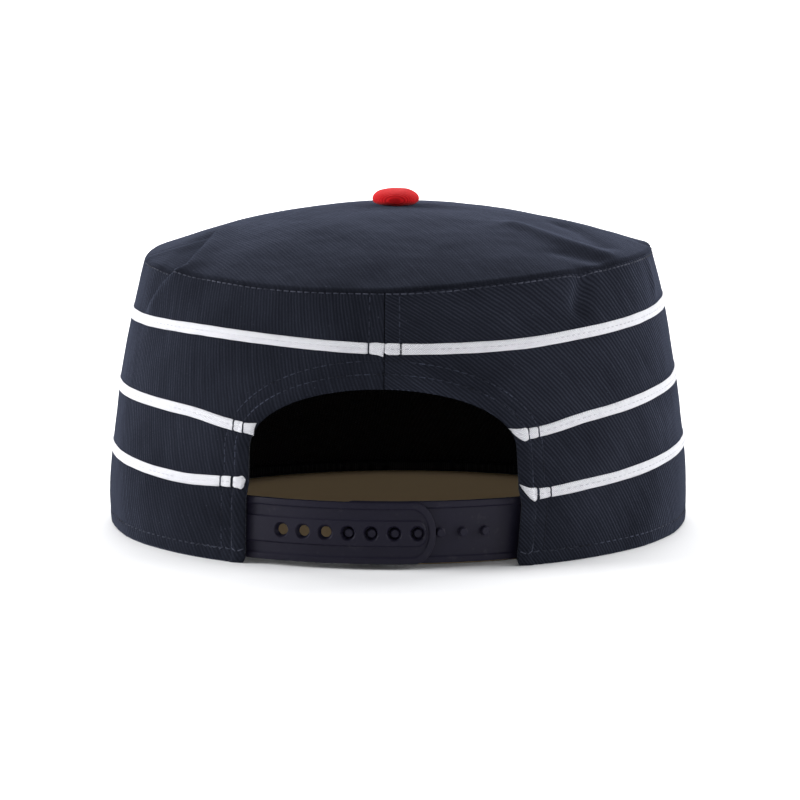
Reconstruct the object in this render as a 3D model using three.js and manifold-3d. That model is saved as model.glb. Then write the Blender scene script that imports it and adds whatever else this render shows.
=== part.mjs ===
// Pillbox cap in navy twill: a domed top, two side panels that meet at the back and at the front,
// three rows of white braid, a covered button, a peak, and a snap strap across the arched back opening.
// Millimetres, +Z up. The wearer faces +Y, and the rim and the peak's ends rest on the plane Z = 0.

import * as THREE from "three";
import { mergeVertices } from "three/addons/utils/BufferGeometryUtils.js";
import Module from "manifold-3d";

const wasm = await Module();
wasm.setup();

// Driving dimensions.
const GAP = 0.3; // left between pieces that touch
const CROWN = {
  halfWidth: 91.5, // outside, at the rim
  halfLength: 102,
  taper: 11.5, // how far the wall has come in at the seam round the top
  taperPower: 1.8,
  domeBase: 84.6, // height that the top panel rises from
  domeRise: 14.7,
  wall: 2,
};
const OPENING = { halfWidth: 41.3, shift: -0.9, straight: 35.5, arch: 19.3 };
const BUTTON = { radius: 7.4, height: 5.3, waist: 6.3, edgeHeight: 2, aside: -0.95, forward: 2.5 };
const PEAK = {
  halfSpan: THREE.MathUtils.degToRad(62), // of its root, either side of the front centre
  halfWidth: 84,
  reach: 66, // beyond the rim
  tuck: 5, // of its root, inside the rim's outer face
  thickness: 3.2,
  arch: 6, // of its front edge, above the floor
  rootArch: 1.5,
  outlinePower: 0.86,
};
const BRAID = { width: 3.3, thickness: 0.8, shoulder: 0.8 };
const STRAP = {
  bottom: 1.7,
  width: 18.8,
  thickness: 1.8,
  border: 2, // raised edge
  spine: 7.8, // raised band that the holes are in
  relief: 0.5,
  inset: 2.4, // outer face of the strap with holes, inside the wall's outer face
  tipShare: 0.72, // length of its rounded tip, as a share of half its width
  holeRadius: 2.2,
  pegRadius: 1.33,
  pegShortfall: 0.5, // pegs end below the outer face
  pitch: 7.1,
  count: 7,
};

// Where things lie along the strap, from the back centre towards +X.
const STRAP_PLACES = {
  firstHole: -32.3,
  firstPeg: -10.7,
  holesTip: 16,
  holesRoot: -56,
  pegsTip: -16.5,
  pegsRoot: 54,
};

// Heights round the crown, at stations given in degrees from the back centre towards +X.
const STATIONS = {
  left: -90, leftBack: -45, leftEnd: -28, back: 0,
  rightEnd: 28, rightBack: 45, right: 90, rightFront: 120, front: 180,
};
const LEVELS = {
  seam: {
    left: 83.6, leftBack: 84.7, leftEnd: 83.9, back: 84.2,
    rightEnd: 86.5, rightBack: 87.3, right: 87.1, rightFront: 84.3, front: 84.3,
  },
  upper: {
    left: 67, leftBack: 69, leftEnd: 68.6, back: 67,
    rightEnd: 67.2, rightBack: 68.5, right: 70.5, rightFront: 70, front: 69,
  },
  middle: {
    left: 44.5, leftBack: 44.3, leftEnd: 41.3, back: 41,
    rightEnd: 40, rightBack: 43.5, right: 47.8, rightFront: 47.3, front: 46.5,
  },
  lower: {
    left: 25.1, leftBack: 23.7, leftEnd: 24.8, back: 23,
    rightEnd: 21.6, rightBack: 23.2, right: 26.5, rightFront: 26.3, front: 26,
  },
};
const BRAID_ROWS = [
  { name: "braid_upper", levels: LEVELS.upper, meetsAtBack: true },
  { name: "braid_middle", levels: LEVELS.middle, meetsAtBack: false },
  { name: "braid_lower", levels: LEVELS.lower, meetsAtBack: false },
];

// Folds and dents in the crown. around: degrees from the back centre. up: along the cloth from the rim.
// along and across: half sizes of the fold. lean: of its length from level. rise: outwards.
const FOLDS = [
  { around: -69, up: 90, along: 14, across: 5, lean: -30, rise: -2.4 },
  { around: -70, up: 97, along: 18, across: 4, lean: -30, rise: 1.2 },
  { around: -62, up: 77, along: 9, across: 4, lean: 45, rise: 0.9 },
  { around: -84, up: 96, along: 16, across: 5, lean: 90, rise: 0.9 },
  { around: 46, up: 79, along: 7, across: 5, lean: 95, rise: -1.3 },
  { around: 56, up: 94, along: 12, across: 7, lean: 90, rise: -1.3 },
  { around: 70, up: 105, along: 18, across: 5, lean: 95, rise: 1.3 },
  { around: 85, up: 100, along: 14, across: 5, lean: 90, rise: -1.4 },
  { around: 80, up: 79, along: 9, across: 4, lean: 85, rise: 0.8 },
];

// How finely curved shapes are faceted.
const MESH = {
  around: 44, up: 8, topRings: 9, topSides: 72, braidSteps: 72, peakAround: 32, peakOut: 5,
  archSides: 20, buttonSides: 24, buttonRings: 6, rodSides: 12, tipSides: 32, strapStep: 4,
};
const MERGE_DISTANCE = 1e-4;
const OVERCUT = 10; // how far a cutter passes the faces that it cuts

// The part's origin is the middle of its footprint, so the crown stands behind it.
const CROWN_Y = -(PEAK.reach + STRAP.inset) / 2;

const NAVY_TWILL = new THREE.MeshStandardMaterial({ color: 0x22252f, roughness: 0.95, metalness: 0 });
const WHITE_BRAID = new THREE.MeshStandardMaterial({ color: 0xecebee, roughness: 0.8, metalness: 0 });
const RED_CLOTH = new THREE.MeshStandardMaterial({ color: 0xc3252b, roughness: 0.9, metalness: 0 });
const NAVY_PLASTIC = new THREE.MeshStandardMaterial({ color: 0x2a2934, roughness: 0.5, metalness: 0 });

const { degToRad, smoothstep } = THREE.MathUtils;

// Moves every vertex of a geometry to the place that the function gives.
function reshape(geometry, place) {
  const position = geometry.getAttribute("position");
  const point = new THREE.Vector3();
  for (let i = 0; i < position.count; i++) {
    point.copy(place(point.fromBufferAttribute(position, i)));
    position.setXYZ(i, point.x, point.y, point.z);
  }
  return geometry;
}

// Makes a closed geometry a solid with its shared vertices merged and its faces pointing out.
function solidOf(geometry) {
  const bare = new THREE.BufferGeometry();
  const loose = geometry.index ? geometry.toNonIndexed() : geometry;
  bare.setAttribute("position", loose.getAttribute("position"));
  const merged = mergeVertices(bare, MERGE_DISTANCE);
  const position = merged.getAttribute("position");
  const corners = [0, 1, 2].map(() => new THREE.Vector3());
  const faces = [];
  let volume = 0;
  for (let i = 0; i < merged.index.count; i += 3) {
    const [a, b, c] = [0, 1, 2].map((k) => merged.index.getX(i + k));
    if (a === b || b === c || c === a) continue;
    faces.push([a, b, c]);
    [a, b, c].forEach((vertex, k) => corners[k].fromBufferAttribute(position, vertex));
    volume += corners[0].dot(corners[1].cross(corners[2]));
  }
  const outward = volume < 0 ? faces.map(([a, b, c]) => [a, c, b]) : faces;
  const triVerts = new Uint32Array(outward.flat());
  return new wasm.Manifold(new wasm.Mesh({ numProp: 3, vertProperties: position.array, triVerts }));
}

function namedMesh(name, solid, material) {
  const { vertProperties, triVerts } = solid.getMesh();
  const geometry = new THREE.BufferGeometry();
  geometry.setAttribute("position", new THREE.BufferAttribute(vertProperties, 3));
  geometry.setIndex(new THREE.BufferAttribute(triVerts, 1));
  geometry.computeVertexNormals();
  const mesh = new THREE.Mesh(geometry, material);
  mesh.name = name;
  return mesh;
}

// A point on the crown's plan. turn is the angle from the back centre towards +X.
function ovalPoint(turn, inset, height) {
  return new THREE.Vector3(
    (CROWN.halfWidth - inset) * Math.sin(turn),
    CROWN_Y - (CROWN.halfLength - inset) * Math.cos(turn),
    height,
  );
}

function wallInset(height) {
  return CROWN.taper * (height / CROWN.domeBase) ** CROWN.taperPower;
}

// The height of a row at any turn: a smooth curve through its stations, closed round the crown.
function levelAt(levels, turn) {
  const stops = Object.keys(STATIONS).map((name) => ({ at: STATIONS[name], level: levels[name] }));
  const before = { at: stops.at(-1).at - 360, level: stops.at(-1).level };
  const after = stops.slice(0, 2).map(({ at, level }) => ({ at: at + 360, level }));
  const round = [{ at: stops.at(-2).at - 360, level: stops.at(-2).level }, before, ...stops, ...after];
  const degrees = THREE.MathUtils.euclideanModulo(THREE.MathUtils.radToDeg(turn) + 180, 360) - 180;
  const next = round.findIndex((stop, i) => i > 1 && stop.at > degrees);
  const [a, b, c, d] = round.slice(next - 2, next + 2);
  const span = c.at - b.at;
  const startSlope = ((c.level - a.level) / (c.at - a.at)) * span;
  const endSlope = ((d.level - b.level) / (d.at - b.at)) * span;
  const share = (degrees - b.at) / span;
  const turned = share * share * (3 - 2 * share);
  return (
    THREE.MathUtils.lerp(b.level, c.level, turned) +
    startSlope * share * (1 - share) ** 2 -
    endSlope * share ** 2 * (1 - share)
  );
}

// How far the folds move the cloth outwards at a place on it.
function foldRise(turn, up) {
  const radius = CROWN.halfWidth - CROWN.taper - Math.max(0, up - CROWN.domeBase);
  return FOLDS.reduce((sum, fold) => {
    const away = THREE.MathUtils.euclideanModulo(turn - degToRad(fold.around) + Math.PI, 2 * Math.PI);
    const sideways = (away - Math.PI) * radius;
    const upwards = up - fold.up;
    const lean = degToRad(fold.lean);
    const along = (sideways * Math.cos(lean) + upwards * Math.sin(lean)) / fold.along;
    const across = (upwards * Math.cos(lean) - sideways * Math.sin(lean)) / fold.across;
    return sum + fold.rise * Math.exp(-(along ** 2) - across ** 2);
  }, 0);
}

// Adds the folds to a point. They push out on the wall and up on the top.
function fold(point, turn, up) {
  const halfTurnover = 25;
  const facing = degToRad(90) * smoothstep(up, CROWN.domeBase - halfTurnover, CROWN.domeBase + halfTurnover);
  const rise = foldRise(turn, up);
  point.x += rise * Math.cos(facing) * Math.sin(turn);
  point.y -= rise * Math.cos(facing) * Math.cos(turn);
  point.z += rise * Math.sin(facing);
  return point;
}

// A point on the wall. share is 0 at the rim and 1 at the seam.
function wallPoint(turn, share, depth) {
  const up = share * CROWN.domeBase;
  return fold(ovalPoint(turn, wallInset(up) + depth, share * levelAt(LEVELS.seam, turn)), turn, up);
}

// A point on the top panel. share is 0 at its middle and 1 at the seam.
function topPoint(turn, share, depth) {
  const seam = ovalPoint(turn, CROWN.taper + depth, 0);
  const base = THREE.MathUtils.lerp(CROWN.domeBase, levelAt(LEVELS.seam, turn), share ** 2);
  const rise = (CROWN.domeRise - depth) * (1 - share ** 2);
  const point = new THREE.Vector3(
    seam.x * share,
    THREE.MathUtils.lerp(CROWN_Y, seam.y, share),
    base + rise + GAP,
  );
  const up = CROWN.domeBase + (1 - share) * (CROWN.halfWidth - CROWN.taper);
  return fold(point, turn, up);
}

function sidePanel(side) {
  const seamTurn = GAP / 2 / CROWN.halfWidth;
  const flat = new THREE.BoxGeometry(1, 1, 1, MESH.around, MESH.up, 1);
  const panel = reshape(flat, ({ x, y, z }) => {
    const turn = side * THREE.MathUtils.lerp(seamTurn, Math.PI - seamTurn, x + 0.5);
    return wallPoint(turn, y + 0.5, (0.5 - z) * CROWN.wall);
  });
  return solidOf(panel).subtract(openingCutter()).subtract(peakSolid(GAP, OVERCUT));
}

// A prism through the back wall, with straight sides and an arched top.
function openingCutter() {
  const { halfWidth, shift, straight, arch } = OPENING;
  const outline = new THREE.Shape()
    .moveTo(shift - halfWidth, -OVERCUT)
    .lineTo(shift + halfWidth, -OVERCUT)
    .lineTo(shift + halfWidth, straight)
    .absellipse(shift, straight, halfWidth, arch, 0, Math.PI, false)
    .closePath();
  const prism = new THREE.ExtrudeGeometry(outline, {
    depth: CROWN.halfLength,
    bevelEnabled: false,
    curveSegments: MESH.archSides,
  });
  const startY = CROWN_Y - CROWN.halfLength - OVERCUT;
  return solidOf(reshape(prism, ({ x, y, z }) => new THREE.Vector3(x, startY + z, y)));
}

function crownTop() {
  const shares = Array.from({ length: MESH.topRings + 1 }, (_, i) => i / MESH.topRings);
  const outer = shares.map((share) => new THREE.Vector2(share, 0));
  const inner = shares.map((share) => new THREE.Vector2(share, 1)).reverse();
  const lathe = new THREE.LatheGeometry([...outer, ...inner], MESH.topSides);
  return solidOf(
    reshape(lathe, ({ x, y, z }) =>
      topPoint(Math.atan2(x, z), Math.min(1, Math.hypot(x, z)), y * CROWN.wall),
    ),
  );
}

function topButton() {
  const { radius, height, waist, edgeHeight, aside, forward } = BUTTON;
  const foot = new THREE.Vector2(waist, 0);
  const crownCurve = new THREE.EllipseCurve(0, edgeHeight, radius, height - edgeHeight, 0, Math.PI / 2);
  const profile = [new THREE.Vector2(0, 0), foot, ...crownCurve.getPoints(MESH.buttonRings)];
  profile.at(-1).x = 0;
  const button = new THREE.LatheGeometry(profile, MESH.buttonSides).rotateX(Math.PI / 2);
  const share = forward / (CROWN.halfLength - CROWN.taper);
  const seat = topPoint(Math.PI, share, 0);
  return solidOf(button.translate(seat.x + aside, seat.y, seat.z + GAP));
}

// The peak, or with a margin and a depth below it the room that it needs in the side panels.
function peakSolid(margin = 0, below = 0) {
  const endMargin = margin / CROWN.halfWidth;
  const flat = new THREE.BoxGeometry(1, 1, 1, MESH.peakAround, MESH.peakOut, 1);
  return solidOf(
    reshape(flat, ({ x, y, z }) => {
      const across = 2 * x;
      const out = y + 0.5;
      const root = ovalPoint(Math.PI - across * (PEAK.halfSpan + endMargin), PEAK.tuck + margin, 0);
      const endY = CROWN_Y + CROWN.halfLength * Math.cos(PEAK.halfSpan) - margin;
      const frontY = CROWN_Y + CROWN.halfLength + PEAK.reach;
      const swing = (across * Math.PI) / 2;
      const widthShare = Math.sign(swing) * Math.abs(Math.sin(swing)) ** PEAK.outlinePower;
      const edgeX = (PEAK.halfWidth + margin) * widthShare;
      const edgeY = THREE.MathUtils.lerp(endY, frontY, Math.max(0, Math.cos(swing)) ** PEAK.outlinePower);
      const arch = THREE.MathUtils.lerp(PEAK.rootArch, PEAK.arch, out) * (1 - across ** 2);
      const level = z > 0 ? PEAK.thickness + margin : -below;
      return root.lerp(new THREE.Vector3(edgeX, edgeY, 0), out).setZ(arch + level);
    }),
  );
}

function braid({ levels, meetsAtBack }) {
  const { width, thickness, shoulder } = BRAID;
  const section = new THREE.Shape([
    new THREE.Vector2(-width / 2, 0),
    new THREE.Vector2(width / 2, 0),
    new THREE.Vector2((width / 2) * shoulder, thickness * shoulder),
    new THREE.Vector2(0, thickness),
    new THREE.Vector2((-width / 2) * shoulder, thickness * shoulder),
  ]);
  const start = meetsAtBack ? GAP / CROWN.halfWidth : openingTurn(levels.rightEnd, 1);
  const end = 2 * Math.PI - (meetsAtBack ? start : openingTurn(levels.leftEnd, -1));
  const strip = new THREE.ExtrudeGeometry(section, {
    depth: 1,
    steps: MESH.braidSteps,
    bevelEnabled: false,
  });
  return solidOf(
    reshape(strip, ({ x, y, z }) => {
      const turn = THREE.MathUtils.lerp(start, end, z);
      const share = (levelAt(levels, turn) + x) / levelAt(LEVELS.seam, turn);
      return wallPoint(turn, share, -GAP - y);
    }),
  );
}

// The turn from the back centre to the opening's edge at a height, on the +X side or the -X side.
function openingTurn(height, side) {
  const overArch = Math.max(0, height - OPENING.straight) / OPENING.arch;
  const edge = OPENING.halfWidth * Math.sqrt(1 - overArch ** 2) + side * OPENING.shift;
  return Math.asin((edge + GAP) / (CROWN.halfWidth - wallInset(height)));
}

// A length of strap bent round the back, between two heights and two depths inside the rim.
function strapBand({ from, to, low, high, inner, outer }) {
  const steps = Math.ceil(Math.abs(to - from) / MESH.strapStep);
  const flat = new THREE.BoxGeometry(1, 1, 1, steps, 1, 1);
  return solidOf(
    reshape(flat, ({ x, y, z }) => {
      const turn = strapTurn(THREE.MathUtils.lerp(from, to, x + 0.5));
      const height = THREE.MathUtils.lerp(low, high, y + 0.5);
      const inset = THREE.MathUtils.lerp(inner, outer, z + 0.5);
      return ovalPoint(turn, wallInset(height) + inset, height);
    }),
  );
}

function strapTurn(place) {
  return place / (CROWN.halfWidth - STRAP.inset);
}

// A round rod through the strap, between two depths.
function strapRod(place, radius, inner, outer) {
  const middle = STRAP.bottom + STRAP.width / 2;
  const turn = strapTurn(place);
  const rod = new THREE.CylinderGeometry(radius, radius, inner - outer, MESH.rodSides);
  const centre = ovalPoint(turn, wallInset(middle) + (inner + outer) / 2, middle);
  return solidOf(rod.rotateZ(turn).translate(centre.x, centre.y, centre.z));
}

// Rounds a strap's end at a tip. towards is +1 for a tip at the +X end.
function tipCutter(tip, towards) {
  const radius = STRAP.width / 2;
  const middle = STRAP.bottom + radius;
  const deep = CROWN.halfLength / 2;
  const round = new THREE.CylinderGeometry(radius, radius, deep, MESH.tipSides).scale(STRAP.tipShare, 1, 1);
  const tipX = ovalPoint(strapTurn(tip), STRAP.inset, 0).x;
  const length = 2 * CROWN.halfWidth;
  const body = new THREE.BoxGeometry(length, deep, STRAP.width + OVERCUT);
  const centreX = tipX - towards * radius * STRAP.tipShare;
  const backY = CROWN_Y - CROWN.halfLength;
  return solidOf(round.translate(centreX, backY, middle)).add(
    solidOf(body.translate(centreX - (towards * length) / 2, backY, middle)),
  );
}

function strapChannels(from, to, outer, gaps) {
  return gaps.map(([low, high]) =>
    strapBand({ from, to, low, high, inner: outer + STRAP.relief, outer: outer - OVERCUT }),
  );
}

// The half of the strap with holes, which lies over the half with pegs.
function strapHoles() {
  const { bottom, width, thickness, border, spine, inset, holeRadius, pitch, count } = STRAP;
  const { holesRoot, holesTip, firstHole } = STRAP_PLACES;
  const top = bottom + width;
  const spineLow = bottom + (width - spine) / 2;
  const outer = inset;
  const inner = inset + thickness;
  const band = strapBand({ from: holesRoot, to: holesTip, low: bottom, high: top, inner, outer });
  const channelEnd = holesTip - (width / 2) * STRAP.tipShare;
  const gaps = [
    [bottom + border, spineLow],
    [spineLow + spine, top - border],
  ];
  const holes = Array.from({ length: count }, (_, i) =>
    strapRod(firstHole + i * pitch, holeRadius, inner + OVERCUT, outer - OVERCUT),
  );
  const cuts = [...strapChannels(holesRoot - OVERCUT, channelEnd, outer, gaps), ...holes];
  return cuts.reduce((strap, cut) => strap.subtract(cut), band.intersect(tipCutter(holesTip, 1)));
}

// The half of the strap with pegs, which stand in the holes of the other half.
function strapPegs() {
  const { bottom, width, thickness, border, inset, pegRadius, pegShortfall, pitch, count } = STRAP;
  const { pegsRoot, pegsTip, firstPeg } = STRAP_PLACES;
  const top = bottom + width;
  const outer = inset + thickness + GAP;
  const inner = outer + thickness;
  const band = strapBand({ from: pegsTip, to: pegsRoot, low: bottom, high: top, inner, outer });
  const gaps = [[bottom + border, top - border]];
  const channelStart = pegsTip + (width / 2) * STRAP.tipShare;
  const [channel] = strapChannels(channelStart, pegsRoot + OVERCUT, outer, gaps);
  const pegs = Array.from({ length: count }, (_, i) =>
    strapRod(firstPeg + i * pitch, pegRadius, inner - thickness / 2, inset + pegShortfall),
  );
  const plain = band.intersect(tipCutter(pegsTip, -1)).subtract(channel);
  return pegs.reduce((strap, peg) => strap.add(peg), plain);
}

const cap = new THREE.Group();
cap.add(
  namedMesh("crown_top", crownTop(), NAVY_TWILL),
  namedMesh("side_panel_left", sidePanel(-1), NAVY_TWILL),
  namedMesh("side_panel_right", sidePanel(1), NAVY_TWILL),
  namedMesh("peak", peakSolid(), NAVY_TWILL),
  namedMesh("top_button", topButton(), RED_CLOTH),
  ...BRAID_ROWS.map((row) => namedMesh(row.name, braid(row), WHITE_BRAID)),
  namedMesh("strap_holes", strapHoles(), NAVY_PLASTIC),
  namedMesh("strap_pegs", strapPegs(), NAVY_PLASTIC),
);

export default cap;
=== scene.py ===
# Navy twill pillbox cap seen from behind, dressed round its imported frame.
# Shapes are worked out in millimetres in the frame's own axes, and each finished piece is scaled to metres.
# turn is the angle round the crown from the back centre towards +X. Heights are from the rim.

import math

import bmesh
import bpy
from mathutils import Matrix, Vector, noise
from mathutils.geometry import intersect_point_line


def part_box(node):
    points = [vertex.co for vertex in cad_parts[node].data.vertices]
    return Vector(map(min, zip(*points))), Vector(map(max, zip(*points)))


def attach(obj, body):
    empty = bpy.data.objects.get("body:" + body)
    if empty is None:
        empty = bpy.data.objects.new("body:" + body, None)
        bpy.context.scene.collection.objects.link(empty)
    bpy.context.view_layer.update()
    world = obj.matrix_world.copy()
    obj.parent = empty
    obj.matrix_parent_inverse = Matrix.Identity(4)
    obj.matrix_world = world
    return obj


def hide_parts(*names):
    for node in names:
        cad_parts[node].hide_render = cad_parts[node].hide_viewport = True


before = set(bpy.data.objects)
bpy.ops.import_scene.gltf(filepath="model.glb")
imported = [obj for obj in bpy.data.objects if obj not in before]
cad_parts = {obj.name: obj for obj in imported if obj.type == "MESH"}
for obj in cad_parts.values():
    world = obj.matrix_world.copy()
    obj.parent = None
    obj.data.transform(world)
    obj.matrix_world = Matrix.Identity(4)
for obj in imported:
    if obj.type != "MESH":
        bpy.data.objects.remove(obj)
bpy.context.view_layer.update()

MM = 0.001
GAP = 0.3

# Sizes that the frame gives
HALF_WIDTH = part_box("side_panel_right")[1].x / MM
PEAK_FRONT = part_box("peak")[1].y / MM
STRAP_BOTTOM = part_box("strap_holes")[0].z / MM
STRAP_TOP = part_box("strap_holes")[1].z / MM
BUTTON_LOW, BUTTON_HIGH = (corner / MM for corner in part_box("top_button"))

# Sizes of the cap
CROWN = {
    "half_length": 102, "taper": 11.5, "taper_power": 1.8, "dome_base": 84.6, "dome_rise": 14.7, "wall": 1.7,
    "half_turnover": 25,
}
OPENING = {"half_width": 42.8, "shift": -0.9, "straight": 35.5, "arch": 19.3}
PEAK = {
    "half_span": math.radians(62), "half_width": 84, "reach": 66, "tuck": 5, "thickness": 3.2, "wall": 2.6,
    "arch": 6, "root_arch": -0.5, "outline_power": 0.86, "edge_round": 1.4, "edge_drop": 1.0,
    "first_row": 5, "row_step": 7, "rows": 6, "ditch": 0.25, "ditch_width": 0.7, "painted_shade_rows": 3,
}
PEAK_STITCHES = {"count": 64, "span": 0.8, "half_length": 0.008, "from_root": 6}  # the middle two as shares
BRAID = {
    "width": 3.3, "thickness": 0.6, "groove": 0.2, "top_share": 0.78, "pinch": 0.1, "waver": 0.07,
    "waver_length": 9,
}
BRAID_STITCHES = {"pitch": 2.4, "length": 1.3, "width": 0.3, "height": 0.26, "from_end": 2, "sunk": 0.05}
BRAID_TIES = {"width": 0.45, "thick_width": 0.8, "thick_reach": 6, "spread": 1.06, "swell": 0.1}
STRAP = {
    "thickness": 1.8, "border": 2.0, "spine": 7.8, "relief": 0.5, "inset": 2.4, "round": 0.25,
    "tip_share": 0.72, "hole_radius": 2.2, "hole_back": 1.65, "peg_radius": 1.33, "peg_shortfall": 0.5,
    "pitch": 7.1, "count": 7,
}
STRAP_PLACES = {
    "first_hole": -32.3, "first_peg": -10.7, "holes_tip": 16, "holes_root": -56,
    "pegs_tip": -16.5, "pegs_root": 54, "spine_tip": 13.2, "spine_root": -50,
}
BUTTON = {"widest": 0.38, "under_power": 0.45, "upper_power": 0.75, "uneven": 0.12}
CROWN_Y = PEAK_FRONT - PEAK["reach"] - CROWN["half_length"]

# How much wider than its straight sides the opening is, by height, on its -X and +X sides
FLAP_EDGES = {
    -1: ((0, 2.4), (0.6, 1.7), (1.8, 1.2), (20, 1.0), (25, 0.0)),
    1: ((0, 1.4), (0.6, 0.7), (1.8, 0.2), (19, 1.8), (23, 0.7), (30, 0.4), (35.5, 0.0)),
}

# Heights of the seam and of the rows of braid, at stations in degrees of turn
STATIONS = (-90, -45, -28, 0, 28, 45, 90, 120, 180)
LEVELS = {
    "seam": (83.6, 84.7, 83.9, 84.2, 86.5, 87.3, 87.1, 84.3, 84.3),
    "upper": (67, 69, 68.6, 67, 67.2, 68.5, 70.5, 70, 69),
    "middle": (44.5, 44.3, 41.3, 41, 40, 43.5, 47.8, 47.3, 46.5),
    "lower": (25.1, 23.7, 24.8, 23, 21.6, 23.2, 26.5, 26.3, 26),
}

# Creases in the crown: the line that each follows, as (degrees of turn, distance up the cloth from the rim).
# A crease with a step, on the -X side, drops sharply along its line, from the side nearer to the back.
CREASES = (
    {
        "width": 7.0, "rise": 1.6, "step": 1.1,
        "path": ((-83, 107), (-65, 98), (-60.5, 93), (-56.5, 88), (-57, 84.5), (-61.5, 80), (-64, 76.5)),
    },
    {"width": 3.2, "rise": -0.3, "path": ((-74, 98), (-69, 93), (-65, 88), (-64.5, 85))},
    {
        "width": 5.0, "rise": 0.5, "step": 0.8,
        "path": ((-86, 106), (-82, 101), (-79.5, 96.5), (-80, 91), (-80.5, 87)),
    },
    {"width": 4.5, "rise": 1.2, "path": ((62.5, 122), (61, 114), (59.5, 104), (60, 96), (61, 91))},
    {"width": 4.5, "rise": -1.1, "path": ((86, 112), (79, 105), (70, 96))},
    {"width": 3.2, "rise": 0.3, "path": ((99.5, 115), (93, 105.5), (91.5, 98.5))},
    {"width": 4.5, "rise": -0.7, "path": ((51, 96), (53, 91), (55, 88))},
    {"width": 3.8, "rise": -2.5, "path": ((47.5, 81), (46.5, 78), (45.5, 74.5))},
    {"width": 3.0, "rise": 0.7, "path": ((77.5, 81), (78, 75))},
    {"width": 5.0, "rise": -1.2, "path": ((92, 82), (92, 85))},
)

# Stitching: distances from the edges and seams, and sizes of a stitch
STITCH = {"pitch": 2.3, "length": 1.7, "width": 0.42, "height": 0.3}
HEM_ROWS = (4.6, 8.6)
RIM_ROW = 4.1
SEAM_ROW = 5.1
FINE_STITCH = 0.36  # width of the hem's thread
WORN_HEM = {"top": 15.5, "length": 11}
LOOSE_RIM = {"length": 22, "swing": 0.45, "wander": 0.3}

# What sewing does to the cloth: how far folded edges stand out, and how far the rest sinks in
HEM = {"fold": 0.35, "ditch": 0.35, "second_ditch": 0.2, "curl": 1.1}
RIM = {"fold": 0.1, "ditch": 0.2, "draw": 0.8, "draw_height": 16, "edge": 0.5, "edge_height": 0.9}
SEAM = {"sunk": 1.0, "sunk_height": 1.3, "back_ditch": 0.2, "row_ditch": 0.15}
TOP_CURL = {"drop": 0.9, "width": 1.5}


def lerp(start, end, share):
    return start + (end - start) * share


def smoothstep(low, high, value):
    share = min(1, max(0, (value - low) / (high - low)))
    return share * share * (3 - 2 * share)


def bell(distance, width):
    return math.exp(-((distance / width) ** 2))


def graded(index, count, length, near=(0, 0.0), far=(0, 0.0)):
    """Where a grid line lies along a length that has fine even steps at its near and far ends."""
    near_count, near_step = near
    far_count, far_step = far
    if index <= near_count:
        return index * near_step
    if index >= count - far_count:
        return length - (count - index) * far_step
    share = (index - near_count) / (count - near_count - far_count)
    return lerp(near_count * near_step, length - far_count * far_step, share)


# The crown's surface

def level_at(row, turn):
    """The height of a row: a smooth closed curve through its stations."""
    degrees = (math.degrees(turn) + 180) % 360 - 180
    stops = [(at + lap, level) for lap in (-360, 0, 360) for at, level in zip(STATIONS, LEVELS[row])]
    after = next(i for i, (at, _) in enumerate(stops) if at > degrees)
    (a, level_a), (b, level_b), (c, level_c), (d, level_d) = stops[after - 2:after + 2]
    start_slope = (level_c - level_a) / (c - a) * (c - b)
    end_slope = (level_d - level_b) / (d - b) * (c - b)
    share = (degrees - b) / (c - b)
    middle = lerp(level_b, level_c, share * share * (3 - 2 * share))
    return middle + start_slope * share * (1 - share) ** 2 - end_slope * share ** 2 * (1 - share)


def oval_point(turn, inset, height):
    return Vector((
        (HALF_WIDTH - inset) * math.sin(turn),
        CROWN_Y - (CROWN["half_length"] - inset) * math.cos(turn),
        height,
    ))


def wall_inset(up):
    return CROWN["taper"] * (max(0, up) / CROWN["dome_base"]) ** CROWN["taper_power"]


def smooth_wall(turn, height, out):
    up = height / level_at("seam", turn) * CROWN["dome_base"]
    return oval_point(turn, wall_inset(up) - out, height), up


def smooth_top(turn, share):
    seam = oval_point(turn, CROWN["taper"], 0)
    base = lerp(CROWN["dome_base"], level_at("seam", turn), share ** 2)
    point = Vector((0, CROWN_Y, 0)).lerp(seam, share)
    point.z = base + CROWN["dome_rise"] * (1 - share ** 2) + GAP
    return point, CROWN["dome_base"] + (1 - share) * (HALF_WIDTH - CROWN["taper"])


def crease_point(degrees, up):
    turn = math.radians(degrees)
    if up <= CROWN["dome_base"]:
        return smooth_wall(turn, up / CROWN["dome_base"] * level_at("seam", turn), 0)[0]
    return smooth_top(turn, 1 - (up - CROWN["dome_base"]) / (HALF_WIDTH - CROWN["taper"]))[0]


CREASE_LINES = [[crease_point(*stop) for stop in crease["path"]] for crease in CREASES]


def line_distance(point, start, end):
    near, share = intersect_point_line(point, start, end)
    if share <= 0:
        return (point - start).length
    if share >= 1:
        return (point - end).length
    return (point - near).length


def line_side(point, start, end):
    """How far a point lies from a line down the crown's -X side, more than 0 if it is nearer to the back."""
    outward = point - Vector((0, CROWN_Y, CROWN["dome_base"] / 2))
    return outward.cross(end - start).normalized().dot(point - start)


def crease_rise(point):
    rise = 0
    for crease, line in zip(CREASES, CREASE_LINES):
        reach = (line[0] - line[-1]).length + 4 * crease["width"]
        if (point - line[0]).length < reach:
            ends = min(zip(line, line[1:]), key=lambda ends: line_distance(point, *ends))
            shape = bell(line_distance(point, *ends), crease["width"])
            if "step" in crease:
                shape *= math.tanh(line_side(point, *ends) / crease["step"])
            rise += crease["rise"] * shape
    return rise


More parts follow.
